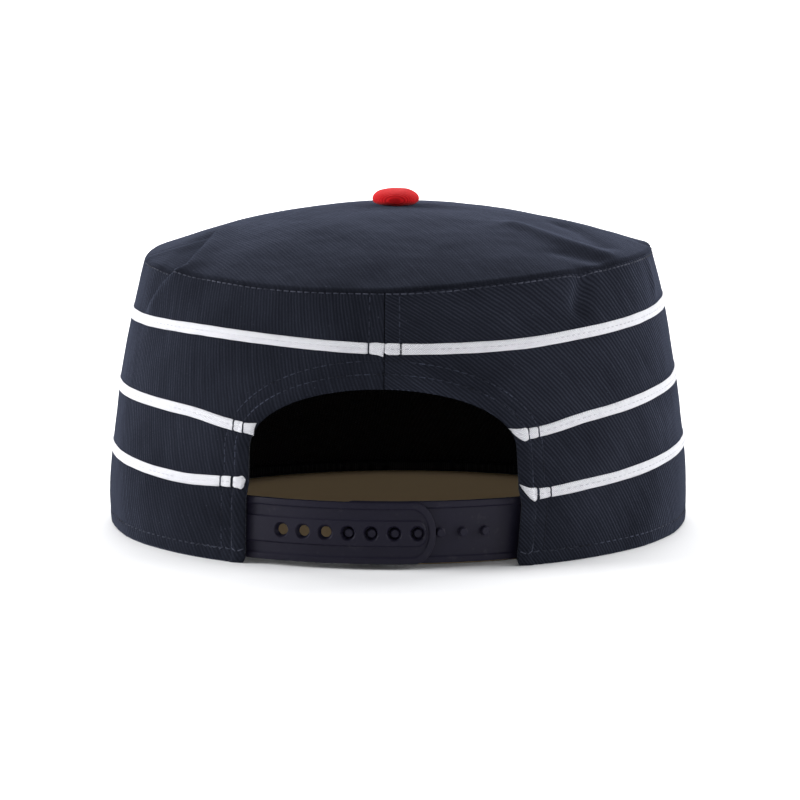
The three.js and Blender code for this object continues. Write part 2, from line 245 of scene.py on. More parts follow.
def creased(point, turn, up):
    """Adds the creases and the cloth's slight unevenness, outwards on the wall and upwards on the top."""
    turnover = CROWN["half_turnover"]
    facing = math.pi / 2 * smoothstep(CROWN["dome_base"] - turnover, CROWN["dome_base"] + turnover, up)
    uneven = 0.3 * noise.noise(point / 19) + 0.1 * noise.noise(point / 6)
    rise = crease_rise(point) + uneven
    outward = Vector((
        math.cos(facing) * math.sin(turn),
        -math.cos(facing) * math.cos(turn),
        math.sin(facing),
    ))
    return point + outward * rise


def opening_radius(height):
    """The radius that turns are measured on round the opening, the same above its shoulders as at them."""
    return HALF_WIDTH - wall_inset(min(height, OPENING["straight"]))


def opening_half(side, height):
    """Half the opening's width at or below its shoulders, measured along the cloth."""
    stops = FLAP_EDGES[side]
    for (low, start), (high, end) in zip(stops, stops[1:]):
        if height < high:
            return OPENING["half_width"] + lerp(start, end, max(0, height - low) / (high - low))
    return OPENING["half_width"]


def opening_distance(turn, height):
    """Distance along the cloth from the edge of the back opening, less than 0 inside it."""
    across = turn * opening_radius(height) - OPENING["shift"]
    side = 1 if across > 0 else -1
    across = abs(across)
    if height <= OPENING["straight"]:
        return across - opening_half(side, height)
    rise = height - OPENING["straight"]
    share = math.hypot(across / OPENING["half_width"], rise / OPENING["arch"])
    slope = math.hypot(across / OPENING["half_width"] ** 2, rise / OPENING["arch"] ** 2)
    return (share - 1) * share / max(slope, 1e-6)


def wall_relief(turn, height):
    """What sewing does to the wall: turned hems, ditches under stitches, sunk seams and a drawn-in rim."""
    edge = max(0, opening_distance((turn + math.pi) % (2 * math.pi) - math.pi, height))
    back = abs(math.sin(turn)) * HALF_WIDTH
    below_seam = level_at("seam", turn) - height
    hem_row, second_row = HEM_ROWS
    relief = HEM["fold"] * (1 - smoothstep(hem_row - 0.3, hem_row + 0.6, edge))
    relief -= HEM["ditch"] * bell(edge - hem_row, 0.55) + HEM["second_ditch"] * bell(edge - second_row, 0.6)
    relief -= HEM["curl"] * max(0, 1 - edge / hem_row) ** 2
    relief += RIM["fold"] * (1 - smoothstep(RIM_ROW - 0.3, RIM_ROW + 0.5, height))
    relief -= RIM["ditch"] * bell(height - RIM_ROW, 0.5)
    relief -= RIM["draw"] * max(0, 1 - height / RIM["draw_height"]) ** 2 * math.sin(turn) ** 2
    relief -= RIM["edge"] * max(0, 1 - height / RIM["edge_height"]) ** 2
    relief -= SEAM["back_ditch"] * bell(back, 0.8) + SEAM["row_ditch"] * bell(back - SEAM_ROW, 0.6)
    relief -= SEAM["sunk"] * max(0, 1 - below_seam / SEAM["sunk_height"]) ** 2
    return relief


def wall_point(turn, height, out=0.0):
    point, up = smooth_wall(turn, height, out + wall_relief(turn, height))
    return creased(point, turn, up)


def top_point(turn, share):
    point, up = smooth_top(turn, share)
    from_edge = (1 - share) * (HALF_WIDTH - CROWN["taper"])
    curl = max(0, 1 - from_edge / TOP_CURL["width"])
    point.z -= TOP_CURL["drop"] * (1 - math.sqrt(1 - min(0.98, curl) ** 2))
    return creased(point, turn, up)


# Making pieces

def grid(columns, rows):
    """A flat grid with each vertex's column and row."""
    bm = bmesh.new()
    bmesh.ops.create_grid(bm, x_segments=columns, y_segments=rows, size=0.5)
    cells = {v: (round((v.co.x + 0.5) * columns), round((v.co.y + 0.5) * rows)) for v in bm.verts}
    return bm, cells


def spun(profile, steps):
    """A form spun round the upright axis from a profile of (out, up) points."""
    bm = bmesh.new()
    line = [bm.verts.new((out, 0, up)) for out, up in profile]
    edges = [bm.edges.new(ends) for ends in zip(line, line[1:])]
    turn = 2 * math.pi
    bmesh.ops.spin(
        bm, geom=line + edges, cent=(0, 0, 0), axis=(0, 0, 1), angle=turn, steps=steps, use_merge=True,
    )
    bmesh.ops.remove_doubles(bm, verts=bm.verts, dist=1e-5)
    return bm


def add_mesh(joined, bm):
    """Adds one bmesh to another."""
    mesh = bpy.data.meshes.new("part")
    bm.to_mesh(mesh)
    bm.free()
    joined.from_mesh(mesh)
    bpy.data.meshes.remove(mesh)


def set_cloth_map(bm, flat_place):
    """Gives the mesh a map in millimetres of cloth. flat_place takes a vertex and gives its (u, v)."""
    layer = bm.loops.layers.uv.new("cloth")
    for face in bm.faces:
        for loop in face.loops:
            loop[layer].uv = flat_place(loop.vert)


def face_away(bm, inside):
    """Turns every face of an open sheet away from a point inside the cap."""
    bmesh.ops.recalc_face_normals(bm, faces=bm.faces)
    facing = sum(face.normal.dot(face.calc_center_median() - inside) for face in bm.faces)
    if facing < 0:
        bmesh.ops.reverse_faces(bm, faces=bm.faces)


def finish(bm, name, materials, node=None, sharp=50):
    """Makes the bmesh a piece in metres that rides on the cap."""
    bmesh.ops.scale(bm, vec=(MM, MM, MM), verts=bm.verts)
    mesh = bpy.data.meshes.new(name)
    bm.to_mesh(mesh)
    bm.free()
    for material in materials:
        mesh.materials.append(material)
    mesh.shade_smooth()
    mesh.set_sharp_from_angle(angle=math.radians(sharp))
    piece = bpy.data.objects.new(name, mesh)
    bpy.context.scene.collection.objects.link(piece)
    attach(piece, "root")
    if node:
        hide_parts(node)
    return piece


def thicken(piece, thickness, rim_material=1):
    """Gives a sheet of cloth its thickness inwards, with its second material on the inner face and, unless
    told otherwise, on the rim round its edges, where the near-black lining is painted shade.
    """
    wall = piece.modifiers.new("cloth thickness", "SOLIDIFY")
    wall.thickness = thickness * MM
    wall.offset = -1
    wall.material_offset = 1
    wall.material_offset_rim = rim_material


# Materials

def node(tree, kind, inputs=(), **settings):
    made = tree.nodes.new(kind)
    for name, value in settings.items():
        setattr(made, name, value)
    for name, value in dict(inputs).items():
        if isinstance(value, bpy.types.NodeSocket):
            tree.links.new(value, made.inputs[name])
        else:
            made.inputs[name].default_value = value
    return made


def new_material(name, sockets):
    material = bpy.data.materials.new(name)
    material.use_nodes = True
    shader = material.node_tree.nodes["Principled BSDF"]
    for socket, value in sockets.items():
        shader.inputs[socket].default_value = value
    return material, material.node_tree, shader


def mixed(tree, share, low, high, blend="MIX"):
    """A colour between two others. Each may be a colour or a socket."""
    made = node(tree, "ShaderNodeMix", {0: share, 6: low, 7: high}, data_type="RGBA", blend_type=blend)
    return made.outputs[2]


def ranged(tree, value, low, high, to_low=0.0, to_high=1.0):
    sockets = {"Value": value, "From Min": low, "From Max": high, "To Min": to_low, "To Max": to_high}
    return node(tree, "ShaderNodeMapRange", sockets).outputs[0]


def combined(tree, operation, first, second):
    return node(tree, "ShaderNodeMath", {0: first, 1: second}, operation=operation).outputs[0]


def noise_at(tree, vector, scale, detail=2.0):
    sockets = {"Vector": vector, "Scale": scale, "Detail": detail}
    return node(tree, "ShaderNodeTexNoise", sockets).outputs["Fac"]


def bands_at(tree, vector, pitch, distortion=0.0, wander=0.4, axis="X"):
    """Even bands across an axis, a pitch apart in the units of the vector."""
    sockets = {
        "Vector": vector, "Scale": math.pi / 10 / pitch, "Distortion": distortion,
        "Detail": 2.0, "Detail Scale": wander,
    }
    return node(tree, "ShaderNodeTexWave", sockets, bands_direction=axis).outputs["Fac"]


def add_bump(tree, shader, height, distance, strength=1.0):
    bump = node(tree, "ShaderNodeBump", {"Height": height, "Distance": distance * MM, "Strength": strength})
    tree.links.new(bump.outputs[0], shader.inputs["Normal"])


def cloth_vector(tree, angle=0.0, scale=(1, 1, 1)):
    flat = node(tree, "ShaderNodeUVMap", uv_map="cloth").outputs[0]
    rotation = (0, 0, math.radians(angle))
    turned = node(tree, "ShaderNodeMapping", {"Vector": flat, "Rotation": rotation}).outputs[0]
    return node(tree, "ShaderNodeMapping", {"Vector": turned, "Scale": scale}).outputs[0]


RIB_PITCH = 1.09
TWILL_SHADE = (0.0068, 0.0075, 0.011, 1)
TWILL_LIGHT = (0.026, 0.0291, 0.0413, 1)
LINT = (0.03, 0.033, 0.044, 1)


def navy_twill(name, angle, depth, tone=1.0, sheen=0.155):
    """Cotton twill with ribs at an angle to upright, uneven yarns, worn patches, a little lint, and a tone
    that lightens or darkens the whole panel as painted light and shade.
    """
    sockets = {
        "Roughness": 1.0, "Specular IOR Level": 0.0,
        "Sheen Weight": sheen, "Sheen Roughness": 0.3, "Sheen Tint": (0.62, 0.7, 1.0, 1),
    }
    material, tree, shader = new_material(name, sockets)
    flat = cloth_vector(tree, angle)
    ribs = bands_at(tree, flat, RIB_PITCH, 2.2, 0.5)
    ribs = ranged(tree, ribs, 0.0, 1.0, 0.45 * (1 - depth), 0.45 + 0.55 * depth)
    streaks = noise_at(tree, cloth_vector(tree, angle, (0.75, 0.05, 1)), 1.0, 3.0)
    yarns = noise_at(tree, cloth_vector(tree, angle, (1.5, 2.4, 1)), 1.0, 2.0)
    broad = noise_at(tree, flat, 0.035, 2.0)
    crest = combined(tree, "MULTIPLY", ribs, ranged(tree, streaks, 0.3, 0.7, 0.55, 1.0))
    crest = combined(tree, "MULTIPLY", crest, ranged(tree, yarns, 0.3, 0.7, 0.6, 1.1))
    colour = mixed(tree, crest, TWILL_SHADE, TWILL_LIGHT)
    # tone scales the random worn patches over the whole panel: above 1 it is painted light, below 1 painted
    # shade
    wear_and_painted_light = ranged(tree, broad, 0.3, 0.7, 0.75 * tone, 1.2 * tone)
    colour = mixed(tree, 1.0, colour, wear_and_painted_light, "MULTIPLY")
    specks = ranged(tree, noise_at(tree, flat, 1.3, 1.0), 0.73, 0.78)
    colour = mixed(tree, specks, colour, LINT)
    tree.links.new(colour, shader.inputs["Base Color"])
    add_bump(tree, shader, crest, 0.22)
    return material


# A lining with a fine weave, made near-black: its darkness is painted shade for the inside of the crown.
def lining_painted_dark():
    material, tree, shader = new_material("lining_painted_dark", {"Roughness": 1.0, "Specular IOR Level": 0.05})
    flat = cloth_vector(tree)
    weave = combined(tree, "MULTIPLY", bands_at(tree, flat, 0.7), bands_at(tree, flat, 0.7, axis="Y"))
    colour = mixed(tree, weave, (0.024, 0.026, 0.032, 1), (0.06, 0.065, 0.078, 1))
    tree.links.new(colour, shader.inputs["Base Color"])
    add_bump(tree, shader, weave, 0.1)
    return material


def white_braid():
    """Soft cotton braid: slanting threads, a little grey between them and a few soiled patches."""
    sockets = {"Roughness": 0.85, "Specular IOR Level": 0.2, "Sheen Weight": 0.15, "Sheen Roughness": 0.5}
    material, tree, shader = new_material("white_braid", sockets)
    threads = bands_at(tree, cloth_vector(tree, 40), 0.62, 1.5, 0.6)
    soil = noise_at(tree, cloth_vector(tree), 0.25, 3.0)
    colour = mixed(tree, threads, (0.56, 0.56, 0.6, 1), (0.78, 0.78, 0.81, 1))
    colour = mixed(tree, ranged(tree, soil, 0.5, 0.75, 0.0, 0.35), colour, (0.44, 0.44, 0.49, 1))
    tree.links.new(colour, shader.inputs["Base Color"])
    add_bump(tree, shader, threads, 0.15)
    return material


def red_cloth():
    """Red twill drawn over the button, its ribs running from side to side."""
    sockets = {"Roughness": 0.9, "Specular IOR Level": 0.1, "Sheen Weight": 0.04, "Sheen Roughness": 0.5}
    material, tree, shader = new_material("red_cloth", sockets)
    place = node(tree, "ShaderNodeTexCoord").outputs["Object"]
    ribs = bands_at(tree, place, 0.55 * MM, 1.0, 0.5, "Y")
    fibres = noise_at(tree, place, 1.2 / MM, 2.0)
    crest = combined(tree, "MULTIPLY", ribs, ranged(tree, fibres, 0.3, 0.7, 0.6, 1.1))
    colour = mixed(tree, crest, (0.4, 0.005, 0.008, 1), (0.6, 0.008, 0.012, 1))
    tree.links.new(colour, shader.inputs["Base Color"])
    add_bump(tree, shader, crest, 0.12)
    return material


def navy_plastic():
    """Moulded soft plastic with a fine grain, a few scuffs and a dull shine."""
    material, tree, shader = new_material("navy_plastic", {"Specular IOR Level": 0.14})
    place = node(tree, "ShaderNodeTexCoord").outputs["Object"]
    grain = noise_at(tree, place, 1.6 / MM, 3.0)
    patches = noise_at(tree, place, 0.06 / MM, 2.0)
    scuffs = ranged(tree, noise_at(tree, place, 0.5 / MM, 4.0), 0.62, 0.75)
    colour = mixed(tree, patches, (0.0076, 0.0067, 0.0145, 1), (0.0124, 0.0112, 0.0222, 1))
    colour = mixed(tree, combined(tree, "MULTIPLY", scuffs, 0.35), colour, (0.03, 0.028, 0.036, 1))
    tree.links.new(colour, shader.inputs["Base Color"])
    tree.links.new(ranged(tree, patches, 0.3, 0.7, 0.42, 0.55), shader.inputs["Roughness"])
    add_bump(tree, shader, grain, 0.03)
    return material


def sewing_thread(name, shade, light):
    material, tree, shader = new_material(name, {"Roughness": 0.8, "Specular IOR Level": 0.1})
    place = node(tree, "ShaderNodeTexCoord").outputs["Object"]
    twist = bands_at(tree, place, 0.35 * MM, 1.0, 0.5, "DIAGONAL")
    worn = noise_at(tree, place, 0.12 / MM, 3.0)
    colour = mixed(tree, ranged(tree, worn, 0.35, 0.65), shade, light)
    colour = mixed(tree, ranged(tree, twist, 0.0, 1.0, 0.0, 0.3), colour, shade)
    tree.links.new(colour, shader.inputs["Base Color"])
    add_bump(tree, shader, twist, 0.06)
    return material


SHADED_LINING = lining_painted_dark()
# The right panel's tone of 1.12 is painted light and the top's 0.75 is painted shade, for how the lamps fall
# on them.
TWILL_LEFT = navy_twill("navy_twill_left", 0, 0.48)
TWILL_RIGHT = navy_twill("navy_twill_right", 0, 0.68, 1.12)
TWILL_TOP = navy_twill("navy_twill_top", -23, 0.2, 0.75, 0.125)
TWILL_PEAK = navy_twill("navy_twill_peak", 0, 0.7)
WHITE = white_braid()
RED = red_cloth()
PLASTIC = navy_plastic()
PALE_THREAD = sewing_thread("pale_navy_thread", (0.012, 0.014, 0.022, 1), (0.06, 0.064, 0.088, 1))
DARK_THREAD = sewing_thread("dark_navy_thread", (0.005, 0.006, 0.0095, 1), (0.028, 0.033, 0.052, 1))
NAVY_THREAD = sewing_thread("navy_thread", (0.007, 0.008, 0.0125, 1), (0.042, 0.048, 0.073, 1))
GREY_THREAD = sewing_thread("grey_thread", (0.42, 0.42, 0.46, 1), (0.64, 0.64, 0.68, 1))


# Crown

ARCH_COLUMNS, WALL_COLUMNS = 64, 200
FLAP_ROWS, UPPER_ROWS = 28, 46
EDGE_GRADE = (8, 0.6)  # grid lines along the rim, and the step between them
SEAM_SLIT = 0.3  # between the panels at the back seam
SEAM_LAP = 0.25  # of each panel over the other at the front seam
PEAK_CLEARANCE = 0.05  # of the rim above the root of the peak


def rim_level(turn):
    """Height of the wall's lower edge, which rises over the root of the peak."""
    across = (math.pi - abs(turn)) / PEAK["half_span"]
    root = PEAK["thickness"] + PEAK["root_arch"] * (1 - min(1, across) ** 2)
    return (root + PEAK_CLEARANCE) * (1 - smoothstep(0.99, 1.06, across))


def opening_turn(across, height, side):
    return (side * across + OPENING["shift"]) / opening_radius(height)


def panel_place(side, column, row):
    """The turn and height of a vertex of a side panel's grid."""
    if column < ARCH_COLUMNS:
        start = math.asin(-side * OPENING["shift"] / OPENING["half_width"])
        swing = lerp(start, math.pi / 2, column / ARCH_COLUMNS)
        low = OPENING["straight"] + OPENING["arch"] * math.cos(swing)
        turn = opening_turn(OPENING["half_width"] * math.sin(swing), low, side)
        turn += side * SEAM_SLIT / 2 / HALF_WIDTH * (1 - column / ARCH_COLUMNS)
    else:
        low = OPENING["straight"]
        flap_height = graded(min(row, FLAP_ROWS), FLAP_ROWS, low, near=EDGE_GRADE)
        edge = opening_turn(opening_half(side, flap_height), flap_height, side)
        length = (math.pi - abs(edge)) * HALF_WIDTH
        share = graded(column - ARCH_COLUMNS, WALL_COLUMNS, length, near=(16, 0.6), far=(6, 0.5)) / length
        turn = lerp(edge, side * (math.pi + SEAM_LAP / HALF_WIDTH), share)
    if row <= FLAP_ROWS and column >= ARCH_COLUMNS:
        rim = rim_level(turn)
        return turn, rim + graded(row, FLAP_ROWS, low - rim, near=EDGE_GRADE)
    height = level_at("seam", turn) - low
    return turn, low + graded(max(0, row - FLAP_ROWS), UPPER_ROWS, height, near=(16, 0.55), far=(6, 0.4))


# How the ribs of each side panel lie. round and up: ribs in a millimetre round and up the crown.
# turning: how their lean changes along the panel. bend: how it changes with height. fade: how they spread.
GRAIN = {
    "side_panel_left": {"round": 0.655, "up": 0.56, "turning": 0.0031, "bend": -0.00225, "fade": 0.0},
    "side_panel_right": {"round": 1.016, "up": 0.96, "turning": -0.0067, "bend": 0.0, "fade": -0.0011},
}
TURNING_REACH = 110  # along the panel, beyond which the lean is steady


def grain_place(grain, turn, height):
    """Place on the cloth with its ribs upright: across the ribs, and along them."""
    along = turn * (HALF_WIDTH - CROWN["taper"] / 3)
    steadied = TURNING_REACH * math.tanh(along / TURNING_REACH)
    ribs = grain["round"] * along + grain["up"] * height + grain["turning"] * steadied * height
    ribs += grain["bend"] * height ** 2 + grain["fade"] * along ** 2
    return ribs * RIB_PITCH, height - 0.5 * along


def side_panel(name, side, material):
    columns, rows = ARCH_COLUMNS + WALL_COLUMNS, FLAP_ROWS + UPPER_ROWS
    bm, cells = grid(columns, rows)
    in_opening = [
        face for face in bm.faces
        if max(cells[v][0] for v in face.verts) <= ARCH_COLUMNS
        and max(cells[v][1] for v in face.verts) <= FLAP_ROWS
    ]
    bmesh.ops.delete(bm, geom=in_opening, context="FACES")
    places = {v: panel_place(side, *cells[v]) for v in bm.verts}
    for vertex, place in places.items():
        vertex.co = wall_point(*place)
    set_cloth_map(bm, lambda v: grain_place(GRAIN[name], *places[v]))
    face_away(bm, Vector((0, CROWN_Y, 40)))
    piece = finish(bm, name, (material, SHADED_LINING), name)
    thicken(piece, CROWN["wall"])


def crown_top():
    rings, sides = 84, 320
    reach = HALF_WIDTH - CROWN["taper"]
    bm = spun([(graded(ring, rings, reach, far=(10, 0.35)) / reach, 0) for ring in range(rings + 1)], sides)
    for vertex in bm.verts:
        turn = math.atan2(vertex.co.y, vertex.co.x)
        vertex.co = top_point(turn, min(1, vertex.co.length))
    set_cloth_map(bm, lambda v: v.co.xy)
    face_away(bm, Vector((0, CROWN_Y, 0)))
    piece = finish(bm, "crown_top", (TWILL_TOP, SHADED_LINING), "crown_top")
    thicken(piece, CROWN["wall"], rim_material=0)


def top_button():
    """A cloth-covered button, drawn in under its edge, that sits on the middle of the top."""
    centre = (BUTTON_LOW + BUTTON_HIGH) / 2
    radius = (BUTTON_HIGH.x - BUTTON_LOW.x) / 2
    height = BUTTON_HIGH.z - BUTTON_LOW.z
    widest = BUTTON["widest"]
    profile = [(0, 0)]
    for degrees in range(-84, 85, 6):
        swing = math.radians(degrees)
        reach = widest if swing < 0 else 1 - widest
        power = BUTTON["under_power"] if swing < 0 else BUTTON["upper_power"]
        profile.append((math.cos(swing) ** power, widest + reach * math.sin(swing)))
    profile.append((0, 1))
    bm = spun([(radius * out, height * up) for out, up in profile], 64)
    for vertex in bm.verts:
        vertex.co.z += BUTTON["uneven"] * noise.noise(vertex.co / 3)
    bmesh.ops.translate(bm, vec=(centre.x, centre.y, BUTTON_LOW.z - GAP), verts=bm.verts)
    bmesh.ops.recalc_face_normals(bm, faces=bm.faces)
    finish(bm, "top_button", (RED,), "top_button", sharp=80)


# Peak

def peak_point(across, out):
    """A point on the peak's upper face. across is -1 to 1 and out is 0 at its root and 1 at its edge."""
    root = oval_point(math.pi - across * PEAK["half_span"], PEAK["tuck"], 0)
    end_y = CROWN_Y + CROWN["half_length"] * math.cos(PEAK["half_span"])
    swing = across * math.pi / 2
    width_share = math.copysign(abs(math.sin(swing)) ** PEAK["outline_power"], swing)
    reach_share = max(0, math.cos(swing)) ** PEAK["outline_power"]
    edge = Vector((PEAK["half_width"] * width_share, lerp(end_y, PEAK_FRONT, reach_share), 0))
    point = root.lerp(edge, out)
    from_edge = (edge - root).length * (1 - out)
    point.z = lerp(PEAK["root_arch"], PEAK["arch"], out) * (1 - across ** 2) + PEAK["thickness"]
    rows = (PEAK["first_row"] + row * PEAK["row_step"] for row in range(PEAK["rows"]))
    point.z -= sum(PEAK["ditch"] * bell(from_edge - row, PEAK["ditch_width"]) for row in rows)
    point.z -= PEAK["edge_drop"] * max(0, 1 - from_edge / PEAK["edge_round"]) ** 2
    return point


def peak():
    columns, rows = 120, 60
    bm, cells = grid(columns, rows)
    for vertex, (column, row) in cells.items():
        vertex.co = peak_point(2 * column / columns - 1, graded(row, rows, 1, far=(10, 0.006)))
    set_cloth_map(bm, lambda v: v.co.xy)
    # The rows nearest the root, inside the crown, take the near-black lining: painted shade.
    for face in bm.faces:
        if max(cells[v][1] for v in face.verts) <= PEAK["painted_shade_rows"]:
            face.material_index = 2
    face_away(bm, Vector((0, PEAK_FRONT / 2, -500)))
    piece = finish(bm, "peak", (TWILL_PEAK, TWILL_PEAK, SHADED_LINING), "peak")
    thicken(piece, PEAK["wall"])


# Braid

BRAID_STEPS, BRAID_ROUND = 420, 18

# How each end of a row is shaped, on its +X (1) and -X (-1) side.
# inset: from the seam or edge that it runs to. tip and widest: its width at its end and at its reach from
# there, as shares of the braid's. power: under 1 for a rounded end. lift: of its tip.
# slant: how far its upper corner leads. notch: into its middle. ties: where threads cross it, from the edge.
BRAID_ROWS = ("upper", "middle", "lower")
END_COLUMNS = ("inset", "tip", "widest", "reach", "power", "lift", "slant", "notch", "ties")
END_SHAPES = {
    ("upper", 1): (0.1, 0.75, 1.05, 1.4, 0.5, 0.0, 0.0, 0.0, (5.5,)),
    ("upper", -1): (0.1, 1.2, 1.1, 2.5, 1.0, -0.4, 0.2, 0.0, (5.2,)),
    ("middle", 1): (-0.9, 0.3, 1.2, 3.6, 0.8, 1.7, 0.5, 0.0, (5.1, 8.7)),
    ("middle", -1): (0.1, 1.25, 1.0, 2.4, 1.0, -0.1, 0.5, 0.3, (3.9, 7.8)),
    ("lower", 1): (0.1, 0.25, 1.25, 4.6, 0.8, 3.0, 0.2, 0.0, (5.8, 10.3)),
    ("lower", -1): (1.0, 0.5, 1.25, 1.2, 0.5, 0.0, 0.2, 0.0, (5.4, 9.8)),
}
BRAID_ENDS = {place: dict(zip(END_COLUMNS, shape)) for place, shape in END_SHAPES.items()}
END_LENGTH = 3.6
END_STATION = 28  # the station in degrees that gives the height of a row's end, on either side
EVEN_LENGTH = 2.5  # from a row's widest place to where it has its even width
FINE_STEPS = (34, 0.3)  # grid lines at each end of a row, and the step between them


def end_turn(row, side):
    """The turn of the back seam or of the opening's edge, where a row runs to it."""
    if row == "upper":
        return 0
    height = LEVELS[row][STATIONS.index(END_STATION * side)]
    above = max(0, height - OPENING["straight"]) / OPENING["arch"]
    edge = opening_half(side, height) * math.sqrt(1 - above ** 2)
    return opening_turn(edge, height, side)


def braid_section(share):
    """Across and outward shares of a point on the section: two cords side by side, flat underneath."""
    top_share = BRAID["top_share"]
    if share > top_share:
        under = (share - top_share) / (1 - top_share)
        return lerp(1, -1, under), -0.15 * math.sin(math.pi * under)
    across = lerp(-1, 1, share / top_share)
    lobe = math.sqrt(max(0, 1 - (2 * abs(across) - 1) ** 2))
    groove_floor = 1 - BRAID["groove"] if abs(across) < 0.5 else 0
    return across, max(lobe, groove_floor)


def braid_place(row, distance, length, share, spread=1.0, swell=0.0):
    """A point of a row, by its distance along the row from its end on the right."""
    across, outward = braid_section(share)
    side = 1 if distance < length / 2 else -1
    from_end = distance if side > 0 else length - distance
    end = BRAID_ENDS[row, side]
    pinch = 1 - BRAID["pinch"] * sum(bell(from_end - tie, 0.6) for tie in end["ties"])
    near = min(1, from_end / end["reach"])
    swelling = lerp(end["tip"], end["widest"], near ** end["power"])
    swelling = lerp(swelling, 1, smoothstep(end["reach"], end["reach"] + EVEN_LENGTH, from_end))
    waver = BRAID["waver"] * noise.noise((distance / BRAID["waver_length"], end_turn(row, 1), 0))
    width = BRAID["width"] * pinch * spread * swelling * (1 + waver)
    cut = end["inset"] - end["slant"] * across + end["notch"] * (1 - across ** 2)
    moved = from_end + cut * (1 - smoothstep(0, END_LENGTH, from_end))
    turn = end_turn(row, side) + side * moved / HALF_WIDTH
    height = level_at(row, turn) + end["lift"] * (1 - near) ** 1.5 + across * width / 2
    thickness = BRAID["thickness"] * pinch * math.sqrt(smoothstep(-0.3, 1.0, from_end))
    return wall_point(turn, height, outward * thickness + swell)


def row_length(row):
    return (2 * math.pi + end_turn(row, -1) - end_turn(row, 1)) * HALF_WIDTH


def row_ties(row):
    """Distances along a row to the threads that cross it."""
    length = row_length(row)
    return [*BRAID_ENDS[row, 1]["ties"], *(length - tie for tie in BRAID_ENDS[row, -1]["ties"])]


def braid_strip(steps, place):
    """A strip with the braid's section. place takes a step along it and a share round the section."""
    bm, cells = grid(steps, BRAID_ROUND)
    for vertex, (step, corner) in cells.items():
        vertex.co = place(step, corner / BRAID_ROUND)
    return bm, cells


def close_strip(bm):
    bmesh.ops.remove_doubles(bm, verts=bm.verts, dist=1e-4)
    open_edges = [edge for edge in bm.edges if edge.is_boundary]
    bmesh.ops.holes_fill(bm, edges=open_edges, sides=0)
    bmesh.ops.recalc_face_normals(bm, faces=bm.faces)


def braid(row):
    length = row_length(row)

    def along(step):
        return graded(step, BRAID_STEPS, length, near=FINE_STEPS, far=FINE_STEPS)

    bm, cells = braid_strip(BRAID_STEPS, lambda step, share: braid_place(row, along(step), length, share))
    around = 2 * BRAID["width"]
    set_cloth_map(bm, lambda v: (along(cells[v][0]), cells[v][1] / BRAID_ROUND * around))
    close_strip(bm)
    name = "braid_" + row
    finish(bm, name, (WHITE,), name, sharp=70)


def braid_ties():
    """The dark threads that cross the rows where the seam and hem stitching runs over them."""
    joined = bmesh.new()
    for row in BRAID_ROWS:
        length = row_length(row)
        for middle in row_ties(row):
            thick = row == "lower" and min(middle, length - middle) < BRAID_TIES["thick_reach"]
            width = BRAID_TIES["thick_width" if thick else "width"]

            def place(step, share):
                distance = middle + (step / 2 - 0.5) * width
                return braid_place(row, distance, length, share, BRAID_TIES["spread"], BRAID_TIES["swell"])

            bm, _ = braid_strip(2, place)
            close_strip(bm)
            add_mesh(joined, bm)
    finish(joined, "braid_ties", (DARK_THREAD,))


# Stitches

def add_stitch(bm, start, end, outward, width, height):
    """A short thread from one point to another, half sunk in the cloth."""
    along = end - start
    sideways = outward.cross(along).normalized()
    outward = along.cross(sideways).normalized()
    turned = Matrix((along, sideways * width, outward * height)).transposed().to_4x4()
    bmesh.ops.create_cube(bm, size=1, matrix=Matrix.Translation((start + end) / 2) @ turned)


def wall_outward(turn):
    return Vector((math.sin(turn), -math.cos(turn), 0))


def sew(bm, length, place, pitch=STITCH["pitch"], stitch=STITCH["length"], width=STITCH["width"]):
    """A row of stitches. place takes a distance along it and gives a point and the outward direction."""
    count = int(length / pitch)
    for index in range(count):
        middle = (index + 0.5) * length / count
        start, _ = place(middle - stitch / 2)
        end, _ = place(middle + stitch / 2)
        add_stitch(bm, start, end, place(middle)[1], width, STITCH["height"])


def finish_stitches(bm, name, thread):
    shortest = min(edge.calc_length() for edge in bm.edges)
    bmesh.ops.bevel(
        bm, geom=bm.edges, offset=shortest * 0.3, affect="EDGES", segments=1, profile=0.5, material=-1,
    )
    finish(bm, name, (thread,), sharp=180)


def top_seam_place(distance):
    turn = distance / (HALF_WIDTH - CROWN["taper"]) - math.pi
    drop = lerp(0.7, 1.3, smoothstep(-0.2, 0.2, turn))
    return wall_point(turn, level_at("seam", turn) - drop), wall_outward(turn)


def hem_place(side, row_inset):
    """Places along a row round one half of the opening, from the top of the arch to the rim."""
    half_width = OPENING["half_width"] + row_inset
    arch = OPENING["arch"] + row_inset
    arch_length = math.pi / 2 * math.sqrt((half_width ** 2 + arch ** 2) / 2)

    def place(distance):
        if distance < arch_length:
            swing = distance / arch_length * math.pi / 2
            height = OPENING["straight"] + arch * math.cos(swing)
            turn = opening_turn(half_width * math.sin(swing), height, side)
        else:
            height = max(0.5, OPENING["straight"] - (distance - arch_length))
            turn = opening_turn(opening_half(side, height) + row_inset, height, side)
        return wall_point(turn, height), wall_outward(turn)

    return arch_length + OPENING["straight"] - RIM_ROW, place


def rim_place(side):
    edge = opening_turn(opening_half(side, RIM_ROW) + HEM_ROWS[0], RIM_ROW, side)

    def place(distance):
        turn = edge + side * distance / HALF_WIDTH
        return wall_point(turn, RIM_ROW), wall_outward(turn)

    end = math.pi - PEAK["half_span"]
    return (end - abs(edge)) * HALF_WIDTH, place


def back_seam_place(side):
    low = OPENING["straight"] + OPENING["arch"] + HEM_ROWS[1]
    turn = side * SEAM_ROW / HALF_WIDTH

    def place(distance):
        return wall_point(turn, low + distance), wall_outward(turn)

    return level_at("seam", 0) - low - 1.5, place


